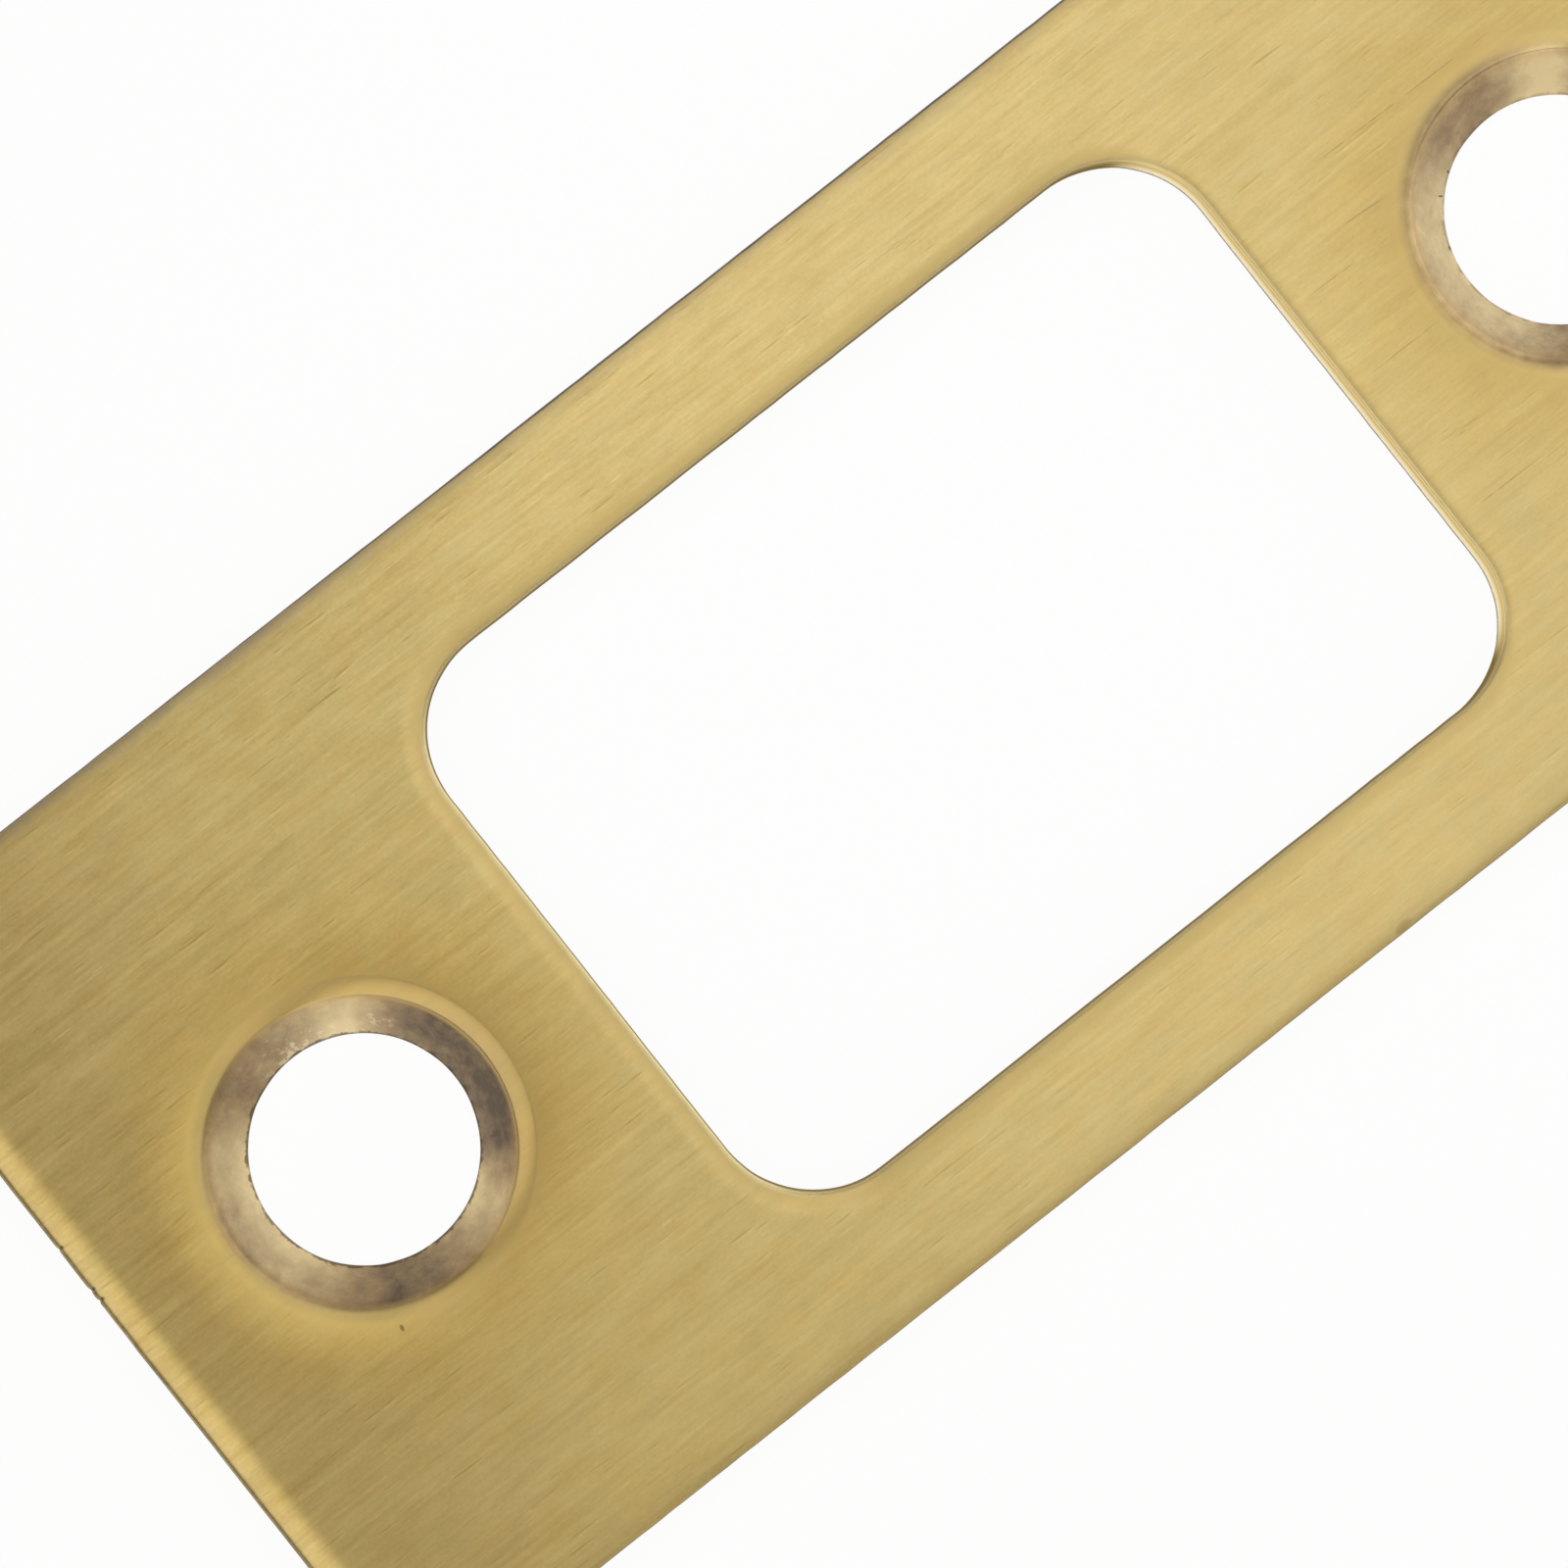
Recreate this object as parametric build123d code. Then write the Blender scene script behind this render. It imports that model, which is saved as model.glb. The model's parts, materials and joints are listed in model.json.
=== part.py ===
from build123d import *

import math
import os

# A flat strike plate for a door bolt: one stamping of satin brass that is screwed into
# a mortise in the door frame. X runs along the plate, Y across it and +Z out of its face.
# The origin is the middle of the back, which is the flat that lies on the frame.

# Opening that the bolt passes through, and the metal that is left round it.
opening_length = 25.8
opening_width = 18.0
opening_corner_radius = 3.0
side_rail = 3.7
end_land = 15.675
thickness = 1.6
corner_radius = 1.5

# Rolled edge that blanking leaves on the face side, a quarter ellipse in section.
outer_roll_width = 0.95
outer_roll_depth = 0.2
opening_roll_width = 0.75
opening_roll_depth = 0.16

# Screw holes, one in each end land, a little nearer to the opening than to the end.
screw_hole_diameter = 6.25
screw_hole_offset = 0.14

# Pressed countersink for a flat screw head. Round the cone's mouth the face was drawn
# down in two arcs, a soft shoulder and a wide faint dish that ends level with the face.
head_diameter = 8.4
head_angle = 82
shoulder_radius = 2.0
shoulder_slope = 20
dish_radius = 14.0
dish_slope = 5.3

# How far a cutter stands out of the metal that it cuts.
overcut = 0.5

plate_length = opening_length + 2 * end_land
plate_width = opening_width + 2 * side_rail
screw_hole_x = opening_length / 2 + end_land / 2 - screw_hole_offset

plate_outline = RectangleRounded(plate_length, plate_width, corner_radius)
opening_outline = RectangleRounded(opening_length, opening_width, opening_corner_radius)


def blanked_sheet():
    """The sheet as it is blanked and pierced, with upright walls."""
    sheet = extrude(plate_outline, thickness)
    return sheet - Pos(0, 0, -overcut) * extrude(opening_outline, thickness + 2 * overcut)


def edge_roll(outline, width, depth, inwards):
    """Cutter that rolls the face's edge along an outline.

    Its section is the corner outside a quarter ellipse, which leaves the wall upright
    and meets the face level. It is carried once round the outline. The ellipse lies to
    the outline's inner side, as round the plate, or to its outer side if inwards is -1,
    as round the opening.
    """
    path = (Pos(0, 0, thickness) * outline).face().outer_wire()
    ahead = path % 0
    inner_side = Vector(0, 0, 1).cross(ahead)
    section_plane = Plane(path @ 0, x_dir=inner_side * inwards, z_dir=ahead * inwards)
    curve = EllipticalCenterArc((width, -depth), width, depth, 90, arc_size=90)
    rim = Polyline(
        (0, -depth), (-overcut, -depth), (-overcut, overcut), (width, overcut), (width, 0)
    )
    return sweep(section_plane * make_face(curve + rim), path=path)


def countersink():
    """Cutter for one screw hole, on the Z axis: the bore, the cone and the drawn face."""
    bore_radius = screw_hole_diameter / 2
    mouth_radius = head_diameter / 2
    steep = math.radians(shoulder_slope)
    gentle = math.radians(dish_slope)
    shoulder_edge = mouth_radius + shoulder_radius * (math.sin(steep) - math.sin(gentle))
    dish_edge = shoulder_edge + dish_radius * math.sin(gentle)
    dish = JernArc((dish_edge, thickness), (-1, 0), dish_radius, dish_slope)
    shoulder = JernArc(dish @ 1, dish % 1, shoulder_radius, shoulder_slope - dish_slope)
    mouth = shoulder @ 1
    cone_depth = (mouth_radius - bore_radius) / math.tan(math.radians(head_angle / 2))
    flank = Polyline(
        mouth,
        (bore_radius, mouth.Y - cone_depth),
        (0, mouth.Y - cone_depth),
        (0, thickness + overcut),
        (dish_edge, thickness + overcut),
        (dish_edge, thickness),
    )
    pressed = revolve(Plane.XZ * make_face(dish + shoulder + flank), Axis.Z)
    return pressed + Pos(0, 0, thickness / 2) * Cylinder(bore_radius, thickness + 2 * overcut)


def strike_plate():
    plate = blanked_sheet()
    plate -= edge_roll(plate_outline, outer_roll_width, outer_roll_depth, 1)
    plate -= edge_roll(opening_outline, opening_roll_width, opening_roll_depth, -1)
    for x in (-screw_hole_x, screw_hole_x):
        plate -= Pos(x, 0, 0) * countersink()
    return plate


os.makedirs("parts", exist_ok=True)
export_step(strike_plate(), "parts/strike_plate.step")
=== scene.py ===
"""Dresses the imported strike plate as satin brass: brushed along its length, with die-rolled
edges, sheared walls and two pressed countersinks. Lengths are in metres, in the model's
frame: X along the plate, Y across it and Z out of its face, with the back at zero."""

import json

import bmesh
import bpy
import numpy as np
from mathutils import Matrix, Vector
from mathutils.geometry import delaunay_2d_cdt


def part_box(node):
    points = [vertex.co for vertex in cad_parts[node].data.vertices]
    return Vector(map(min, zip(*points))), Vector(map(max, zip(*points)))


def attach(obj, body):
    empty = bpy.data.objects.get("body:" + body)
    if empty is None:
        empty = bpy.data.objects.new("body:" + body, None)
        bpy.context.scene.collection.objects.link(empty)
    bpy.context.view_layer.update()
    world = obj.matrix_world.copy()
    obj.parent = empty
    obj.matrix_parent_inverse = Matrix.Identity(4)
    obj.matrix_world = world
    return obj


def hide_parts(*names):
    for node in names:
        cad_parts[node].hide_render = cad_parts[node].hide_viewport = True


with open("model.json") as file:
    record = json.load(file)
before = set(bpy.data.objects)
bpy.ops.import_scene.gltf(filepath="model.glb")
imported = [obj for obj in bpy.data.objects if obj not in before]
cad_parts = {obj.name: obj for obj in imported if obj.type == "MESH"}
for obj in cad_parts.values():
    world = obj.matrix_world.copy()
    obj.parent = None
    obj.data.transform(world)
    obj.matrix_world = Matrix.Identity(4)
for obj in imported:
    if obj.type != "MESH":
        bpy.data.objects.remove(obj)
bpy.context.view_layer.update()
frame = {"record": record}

MM = 0.001
NODE = "strike_plate"

# Sizes that the frame gives.
plate_low, plate_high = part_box(NODE)
plate_length = plate_high.x - plate_low.x
plate_width = plate_high.y - plate_low.y
face_height = plate_high.z
mounts = {mount["name"]: mount for mount in frame["record"]["mounts"]}
screw_dims = mounts["screws"]["dims"]
screw_x = screw_dims["spacing_x_mm"] / 2 * MM
bore_radius = screw_dims["hole_r_mm"] * MM

# Sizes that repeat the model's source.
corner_radius = 1.5 * MM
outer_roll_width = 0.95 * MM
outer_roll_depth = 0.2 * MM
opening_length = 25.8 * MM
opening_width = 18.0 * MM
opening_corner_radius = 3.0 * MM
opening_roll_width = 0.75 * MM
opening_roll_depth = 0.16 * MM
mouth_radius = 4.2 * MM
cone_half_angle = np.radians(41)
shoulder_radius = 2.0 * MM
shoulder_slope = np.radians(20)
dish_radius = 14.0 * MM
dish_slope = np.radians(5.3)

# Where the shoulder and the dish begin, as the model's tangent arcs give it.
soft_shoulder_edge = mouth_radius + shoulder_radius * (np.sin(shoulder_slope) - np.sin(dish_slope))
soft_dish_edge = soft_shoulder_edge + dish_radius * np.sin(dish_slope)

# Detail that only the look has.
back_edge = 0.04 * MM
unevenness = 0.014 * MM
knot_step = 0.5 * MM
least_knots = 8

# The right side of each countersink is drawn harder: a flatter shoulder and a wider dish.
hard_shoulder_edge = 4.70 * MM
hard_shoulder_radius = 2.9 * MM
hard_dish_edge = 6.7 * MM

# How fast a countersink grows harder away from its soft side, and how late it starts to.
hard_gain = 1.6
hard_delay = 0.3

# Over what length the crest at a mouth is rounded: everywhere, and more on the soft side.
crisp_crest = 0.006 * MM
soft_crest = 0.06 * MM

# How far up the cone the bore's rim still wavers.
rim_waver_reach = 0.3 * MM

# How lit and clean a cone is where no bright side reaches, and what it loses over its
# mouth: the cone carries painted light and shade as well as cleaner metal.
least_lit_and_clean = 0.08
mouth_width = 0.15 * MM
mouth_share_lost = 0.26
mouth_loss = 0.057

# Where the shoulder's painted light and shade ends: how far inside the shoulder's edge,
# and how softly.
ring_inset = 0.06 * MM
ring_fade = 0.12 * MM

# How finely the mesh is cut: its steps, into how many parts each step within reach of a
# nick is cut again, and its points over each stretch of a section.
fill_step = 1.6 * MM
outline_step = 0.2 * MM
nick_reach = 0.45 * MM
nick_parts = 8
least_bends = 12
back_points = 5
wall_points = 9
roll_points = 21
points_round_hole = 360
bore_points = 4
cone_points = 12
crest_reach = 0.2 * MM
crest_points = 20
shoulder_reach = 0.6 * MM
shoulder_points = 13
dish_points = 14

# Faces that meet at more than this are shaded with a sharp edge between them.
sharp_angle = np.radians(32)

# Nicks in the left end's edge, in millimetres: place, depth and spread along the edge.
nicks = (
    (-28.575, 2.945, 0.03, 0.05),
    (-28.575, 1.197, 0.04, 0.05),
    (-28.575, 1.548, 0.03, 0.08),
)

# Dark spots, in millimetres: middle, half length, half width, slope and how dark.
spots = (
    (-22.638, -4.370, 0.07, 0.12, 0.3, 0.75),
    (5.08, -12.53, 0.34, 0.15, 0.1, 0.3),
    (-28.47, 2.945, 0.10, 0.05, 0.0, 0.75),
    (-28.48, 1.548, 0.08, 0.06, 0.0, 0.75),
    (-28.46, 1.197, 0.11, 0.06, 0.0, 0.75),
    (18.84, 2.66, 0.05, 0.06, 0.0, 0.75),
    (18.25, 2.26, 0.09, 0.04, -0.5, 0.75),
    (17.60, 1.00, 0.06, 0.08, 0.0, 0.75),
)

# Thin scratches on the face, in millimetres, from end to end; their half width; and how
# dark they are.
scratches = (
    (13.32, -0.345, 16.11, -0.346),
    (13.25, 2.33, 16.53, 2.24),
    (14.82, 3.31, 17.05, 3.14),
    (14.82, 5.05, 22.6, 4.91),
    (13.19, -4.89, 16.09, -4.92),
)
scratch_half_width = 0.022
scratch_darkness = 0.4

# How each hole was punched; directions are in degrees about the hole, from +X.
#   side: the end of the plate, -1 left or 1 right.
#   soft_side: the direction in which the crest is round.
#   bright_sides: painted light on the cone, partly cleaner metal, as direction, spread and
#     how much.
#   inward_gain: how much lighter and cleaner the cone is towards the bore, for each
#     millimetre.
#   seam: where the cone's metal gives way to the face's, in millimetres outside the mouth,
#     on the hard side and on the soft side.
#   seam_width: how soft that change is in the same two places, in millimetres.
#   ring_reach: over how many millimetres more the shoulder's painted light and shade
#     fades out on the soft side.
#   crest_tones: painted highlights and painted shade near the mouth, as direction,
#     spread, place outside the mouth and width in millimetres, and how much.
left_hole = {
    "side": -1,
    "soft_side": 200,
    "bright_sides": (
        (60, 18, 0.74), (92, 24, 0.29), (148, 24, 0.62),
        (198, 32, 0.6), (272, 20, 0.12), (300, 20, 0.68),
    ),
    "inward_gain": 0.6,
    "seam": (-0.07, 0.07),
    "seam_width": (0.02, 0.06),
    "ring_reach": 1.2,
    "crest_tones": (
        (180, 42, -0.03, 0.13, -0.5), (245, 20, 0.0, 0.08, 0.3),
        (170, 44, -0.35, 0.25, -0.15), (335, 26, -0.35, 0.3, -0.14),
    ),
}
right_hole = {
    "side": 1,
    "soft_side": 195,
    "bright_sides": (
        (60, 19, 0.94), (92, 22, 0.16), (146, 32, 0.58), (200, 38, 0.56), (300, 20, 0.6),
    ),
    "inward_gain": 0.1,
    "seam": (0.12, 0.27),
    "seam_width": (0.05, 0.06),
    "ring_reach": 0.0,
    "crest_tones": (
        (105, 32, 0.04, 0.09, 0.3), (105, 32, -0.02, 0.22, 0.2),
        (170, 36, 0.05, 0.05, -0.13), (195, 30, 0.25, 0.08, 0.28),
        (55, 18, -0.05, 0.15, -0.25), (120, 14, -0.85, 0.3, 0.12),
    ),
}

# Finish numbers of the faces, in the order of the piece's materials.
BRUSHED, SHEARED, BACK = range(3)

# Fields that the mesh keeps on its points for the materials.
#   pressed: 1 on a cone's metal and 0 on the face's.
#   lit_and_clean: painted light and shade on the cone's metal, with how clean it is; the
#     material limits it to 0 and 1.
#   smooth: where the shoulder's stretching wiped the brushing out.
#   ring: where the shoulder gets painted light and shade.
#   edge and lip: 1 at the wall of the outer edge and of the opening, 0 where its roll ends.
FIELDS = ("pressed", "lit_and_clean", "smooth", "ring", "edge", "lip")


def rounded_rectangle(length, width, radius, step):
    """Points along a rectangle with round corners, anticlockwise, and outward normals.

    Each quarter is a straight side and then an arc about its corner's centre.
    """
    points, normals = [], []
    for quarter in range(4):
        turn = quarter * np.pi / 2
        out = np.array((np.cos(turn), np.sin(turn)))
        along = np.array((-np.sin(turn), np.cos(turn)))
        reach, half = (length, width) if quarter % 2 == 0 else (width, length)
        reach, half = reach / 2, half / 2 - radius
        count = int(np.ceil(2 * half / step))
        side = np.linspace(-half, half, count, endpoint=False)[:, None]
        points.append(out * reach + along * side)
        normals.append(np.repeat(out[None], count, axis=0))
        bends = max(least_bends, int(np.ceil(radius * np.pi / 2 / step)))
        angle = turn + np.linspace(0, np.pi / 2, bends, endpoint=False)
        arc = np.stack((np.cos(angle), np.sin(angle)), axis=1)
        points.append(out * (reach - radius) + along * half + arc * radius)
        normals.append(arc)
    return np.concatenate(points), np.concatenate(normals)


def refined(points, normals, places, reach, parts):
    """The outline with each side near one of the places cut into equal parts."""
    after = np.roll(points, -1, axis=0)
    away = np.linalg.norm(((points + after) / 2)[:, None] - places[None], axis=2)
    counts = np.where((away < reach).any(axis=1), parts, 1)
    index = np.repeat(np.arange(len(points)), counts)
    first = np.repeat(np.cumsum(counts) - counts, counts)
    share = ((np.arange(len(index)) - first) / counts[index])[:, None]
    next_normals = np.roll(normals, -1, axis=0)
    fine_points = points[index] * (1 - share) + after[index] * share
    fine_normals = normals[index] * (1 - share) + next_normals[index] * share
    return fine_points, fine_normals


def between(pair, share):
    """A value that goes from a pair's first number to its second."""
    return pair[0] + (pair[1] - pair[0]) * share


def lobe(away, spread):
    """A bell curve of a distance: 1 at none, and 1/e at the spread."""
    return np.exp(-((away / spread) ** 2))


def uneven(position, whole, seed):
    """A small closed random waver, from 0 to 1, along a path of a given whole length."""
    knots = max(least_knots, int(whole / knot_step))
    values = np.random.default_rng(seed).random(knots)
    closed = np.append(values, values[0])
    return np.interp(position / whole * knots, np.arange(knots + 1), closed)


def worn_inwards(points, seed):
    """How far each point of an outline lies inwards: a small waver and the nicks."""
    steps = np.linalg.norm(np.roll(points, -1, axis=0) - points, axis=1)
    shift = unevenness * uneven(np.cumsum(steps) - steps, steps.sum(), seed)
    for x, y, depth, spread in nicks:
        away = np.hypot(points[:, 0] - x * MM, points[:, 1] - y * MM)
        shift = shift + depth * MM * lobe(away, spread * MM)
    return shift


def edge_profile(roll_width, roll_depth):
    """Inward offset and height from the back's rim, up the wall and over the roll.

    The wall has a tiny round at the back; the roll is a quarter ellipse that starts
    upright at the wall and ends level with the face.
    """
    turn = np.linspace(np.pi / 2, 0, back_points)
    rim_offset = back_edge * (1 - np.cos(turn))
    rim_height = back_edge * (1 - np.sin(turn))
    wall = np.linspace(back_edge, face_height - roll_depth, wall_points)[1:-1]
    rise = np.linspace(0, np.pi / 2, roll_points)
    roll_offset = roll_width * (1 - np.cos(rise))
    roll_height = face_height - roll_depth * (1 - np.sin(rise))
    offset = np.concatenate((rim_offset, np.zeros_like(wall), roll_offset))
    height = np.concatenate((rim_height, wall, roll_height))
    is_roll = np.arange(len(offset) - 1) >= len(rim_offset) + len(wall)
    return offset, height, np.where(is_roll, BRUSHED, SHEARED)


def carried_round(points, normals, offset, height):
    """A profile carried round an outline: each point goes inwards by offset, to height."""
    flat = points[:, None] - normals[:, None] * offset[:, :, None]
    level = np.broadcast_to(height, flat.shape[:2])
    return np.dstack((flat, level))


def blended_minimum(a, b, blend):
    """The lower of two heights, rounded where they meet over about the blend's length."""
    return -blend * np.logaddexp(-a / blend, -b / blend)


def arc_drop(start_slope, arc_radius, run):
    """Drop below the level line of an arc that starts at a slope and steepens.

    The sine of the arc's slope grows evenly with the run.
    """
    sine = run / arc_radius + np.sin(start_slope)
    return arc_radius * (np.cos(start_slope) - np.sqrt(1 - np.clip(sine, 0, 0.95) ** 2))


def drawn_face(hard):
    """The drawn face round a hole, for a hardness from 0 to 1 at each angle about it.

    Gives the shoulder's outer edge, and the height as a function of the radius. The face
    falls along the dish's arc up to that edge, and from there along the shoulder's. Where
    it was drawn softly the two arcs are tangent; where hard, they meet at a crease.
    """
    shoulder_edge = between((soft_shoulder_edge, hard_shoulder_edge), hard)
    shoulder_arc = between((shoulder_radius, hard_shoulder_radius), hard)
    crease_slope = np.arcsin(np.sin(shoulder_slope) - (shoulder_edge - mouth_radius) / shoulder_arc)
    dish_edge = between((soft_dish_edge, hard_dish_edge), hard)
    dish_arc = (dish_edge - shoulder_edge) / np.sin(dish_slope)

    def height(radius):
        dish_run = np.clip(dish_edge - radius, 0, dish_edge - shoulder_edge)
        shoulder_run = np.clip(shoulder_edge - radius, 0, None)
        dish = arc_drop(0.0, dish_arc, dish_run)
        return face_height - dish - arc_drop(crease_slope, shoulder_arc, shoulder_run)

    return shoulder_edge, height


def section_radii():
    """Radii from the bore to the dish's edge, closest together over the crest."""
    stretches = (
        (bore_radius, mouth_radius - crest_reach, cone_points),
        (mouth_radius - crest_reach, mouth_radius + crest_reach, crest_points),
        (mouth_radius + crest_reach, mouth_radius + shoulder_reach, shoulder_points),
        (mouth_radius + shoulder_reach, hard_dish_edge, dish_points),
    )
    radii = [np.linspace(*stretch) for stretch in stretches]
    return np.concatenate((radii[0], *(part[1:] for part in radii[1:])))[None, :]


def with_bore(radius, height):
    """The section with the tiny round at the back and the bore's land in front of it."""
    down = np.linspace(0, 1, bore_points)[None, :-1]
    land_height = back_edge + (height[:, :1] - back_edge) * down
    land_radius = np.broadcast_to(radius[:, :1], land_height.shape)
    turn = np.linspace(np.pi / 2, 0, bore_points)[None, :-1]
    rim_height = np.broadcast_to(back_edge * (1 - np.sin(turn)), land_height.shape)
    rim_radius = radius[:, :1] + back_edge * (1 - np.cos(turn))
    full_radius = np.concatenate((rim_radius, land_radius, radius), axis=1)
    full_height = np.concatenate((rim_height, land_height, height), axis=1)
    return full_radius, full_height


def countersink_grid(hole):
    """One pressed countersink as heights over angle and radius, from the back's rim.

    Outside the mouth the face falls along a wide dish and then a tighter shoulder, both
    arcs; inside it falls down a cone. The lower of the two holds. The crest between them
    is rounded towards the soft side's direction and crisp away from it, where the
    shoulder is flatter and ends at a crease, and the dish reaches further.
    """
    angle = np.linspace(0, 2 * np.pi, points_round_hole, endpoint=False)[:, None]
    softness = 0.5 + 0.5 * np.cos(angle - np.radians(hole["soft_side"]))
    hard = np.clip(hard_gain * (1 - softness) - hard_delay, 0, 1)
    shoulder_edge, drawn_height = drawn_face(hard)
    radius = section_radii()
    waver = uneven(angle * bore_radius, 2 * np.pi * bore_radius, hole["soft_side"])
    near_rim = np.clip(1 - (radius - bore_radius) / rim_waver_reach, 0, 1)
    radius = radius + unevenness * waver * near_rim
    drawn = drawn_height(radius)
    cone = drawn_height(mouth_radius) + (radius - mouth_radius) / np.tan(cone_half_angle)
    height = blended_minimum(drawn, cone, crisp_crest + soft_crest * softness**2)
    height[:, -1] = face_height
    radius, height = with_bore(radius, height)
    grid = np.dstack((
        hole["side"] * screw_x + radius * np.cos(angle),
        radius * np.sin(angle),
        height,
    ))
    return grid, countersink_fields(hole, angle, softness, shoulder_edge, radius)


def countersink_fields(hole, angle, softness, shoulder_edge, radius):
    """The fields round one hole, for each angle and radius.

    Pressed falls in an S curve over the seam. Smooth falls to nothing as far outside the
    shoulder's soft edge as that lies outside the mouth.
    """
    seam = mouth_radius + between(hole["seam"], softness) * MM
    seam_width = between(hole["seam_width"], softness) * MM
    past_seam = np.clip((radius - seam) / seam_width, -30, 30)
    outward = (radius - mouth_radius) / (soft_shoulder_edge - mouth_radius)
    fade = ring_fade + hole["ring_reach"] * MM * np.clip(2 * softness - 1, 0, 1)
    ring_edge = shoulder_edge - ring_inset + fade
    return {
        "pressed": 1 / (1 + np.exp(past_seam)),
        "lit_and_clean": lit_and_clean_metal(hole, angle, radius),
        "smooth": np.clip(2 - outward, 0, 1),
        "ring": np.clip((ring_edge - radius) / fade, 0, 1),
    }


def lit_and_clean_metal(hole, angle, radius):
    """Painted light and shade on the cone, with how clean its metal is: lobes about the hole,
    and patches near the crest.

    A lobe is a bell curve of the direction; a patch is one of the radius as well.
    """
    lit_and_clean = least_lit_and_clean
    for direction, spread, level in hole["bright_sides"]:
        lit_and_clean = lit_and_clean + level * lobe(degrees_from(angle, direction), spread)
    middle = (bore_radius + mouth_radius) / 2
    lit_and_clean = lit_and_clean * (1 - hole["inward_gain"] * np.clip((radius - middle) / MM, -0.4, 0.0))
    over_mouth = np.clip((radius - mouth_radius) / mouth_width, 0, 1)
    lit_and_clean = lit_and_clean * (1 - mouth_share_lost * over_mouth) - mouth_loss * over_mouth
    for direction, spread, place, width, amount in hole["crest_tones"]:
        patch = lobe((radius - mouth_radius) / MM - place, width)
        lit_and_clean = lit_and_clean + amount * lobe(degrees_from(angle, direction), spread) * patch
    return lit_and_clean


def degrees_from(angle, direction):
    """The angle from a direction, in degrees between minus and plus half a turn."""
    turned = angle - np.radians(direction)
    return np.degrees((turned + np.pi) % (2 * np.pi) - np.pi)


class Shell:
    """Grids and flats gathered into one closed mesh, with a few fields on its points."""

    def __init__(self):
        self.points = np.zeros((0, 3))
        self.fields = {name: np.zeros(0) for name in FIELDS}
        self.faces = []
        self.finish = []

    def add_points(self, points, fields):
        """Adds points with their fields, zero where none is given; gives the first index."""
        first = len(self.points)
        self.points = np.concatenate((self.points, points))
        for name in FIELDS:
            values = fields[name].ravel() if name in fields else np.zeros(len(points))
            self.fields[name] = np.concatenate((self.fields[name], values))
        return first

    def add_grid(self, grid, finish, fields):
        """Adds a grid that closes along its first axis; gives its first and last loops."""
        around, across = grid.shape[:2]
        first = self.add_points(grid.reshape(-1, 3), fields)
        index = first + np.arange(around * across).reshape(around, across)
        after = np.roll(index, -1, axis=0)
        quads = np.stack((index[:, :-1], after[:, :-1], after[:, 1:], index[:, 1:]), axis=-1)
        self.faces += quads.reshape(-1, 4).tolist()
        self.finish.append(np.broadcast_to(finish, quads.shape[:2]).ravel())
        return index[:, 0], index[:, -1]

    def add_flat(self, loops, height, finish):
        """Fills the flat between the first, outer loop and those inside it with triangles.

        Points on a square lattice are added where they lie clear of every loop. Triangles
        with their middle outside the outer loop or inside another are left out.
        """
        outlines = [self.points[loop, :2] for loop in loops]
        columns = np.arange(plate_low.x, plate_high.x, fill_step)
        rows = np.arange(plate_low.y, plate_high.y, fill_step)
        lattice = np.stack(np.meshgrid(columns, rows), axis=-1).reshape(-1, 2)
        keep = inside(lattice, outlines)
        edge_points = np.concatenate(outlines)
        gap = np.linalg.norm(lattice[:, None] - edge_points[None], axis=2).min(axis=1)
        lattice = lattice[keep & (gap > fill_step / 3)]
        known = np.concatenate(loops)
        fresh = np.column_stack((lattice, np.full(len(lattice), height)))
        start = self.add_points(fresh, {})
        index = np.concatenate((known, start + np.arange(len(fresh))))
        flat = np.concatenate((edge_points, lattice)) / MM
        edges, first = [], 0
        for loop in loops:
            ring = first + np.arange(len(loop))
            edges += np.stack((ring, np.roll(ring, -1)), axis=1).tolist()
            first += len(loop)
        found = delaunay_2d_cdt([Vector(p) for p in flat], edges, [], 0, 1e-6, True)
        source = np.array([ids[0] for ids in found[3]])
        triangles = source[np.array(found[2])]
        middle = flat[triangles].mean(axis=1) * MM
        triangles = index[triangles[inside(middle, outlines)]]
        self.faces += triangles.tolist()
        self.finish.append(np.full(len(triangles), finish))


def inside(points, outlines):
    """Which points lie in the first outline and in none of the others."""
    def within(outline):
        a, b = outline, np.roll(outline, -1, axis=0)
        x, y = points[:, :1], points[:, 1:]
        crosses = (a[:, 1] > y) != (b[:, 1] > y)
        rise = np.where(b[:, 1] == a[:, 1], 1, b[:, 1] - a[:, 1])
        at = a[:, 0] + (y - a[:, 1]) / rise * (b[:, 0] - a[:, 0])
        return (crosses & (x < at)).sum(axis=1) % 2 == 1

    result = within(outlines[0])
    for outline in outlines[1:]:
        result &= ~within(outline)
    return result


def add_band(shell, outline, inwards, roll_width, roll_depth, field):
    """The wall and roll along one outline; its field falls from wall to face.

    Inwards is 1 where the plate lies inside the outline, and -1 where it lies outside.
    """
    places = np.array(nicks)[:, :2] * MM
    points, normals = refined(*outline, places, nick_reach, nick_parts)
    offset, height, finish = edge_profile(roll_width, roll_depth)
    edge = np.clip(1 - offset / roll_width, 0, 1)
    worn = offset + worn_inwards(points, inwards + 2)[:, None] * edge
    grid = carried_round(points, normals, inwards * worn, height)
    return shell.add_grid(grid, finish, {field: np.broadcast_to(edge, grid.shape[:2])})


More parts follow.
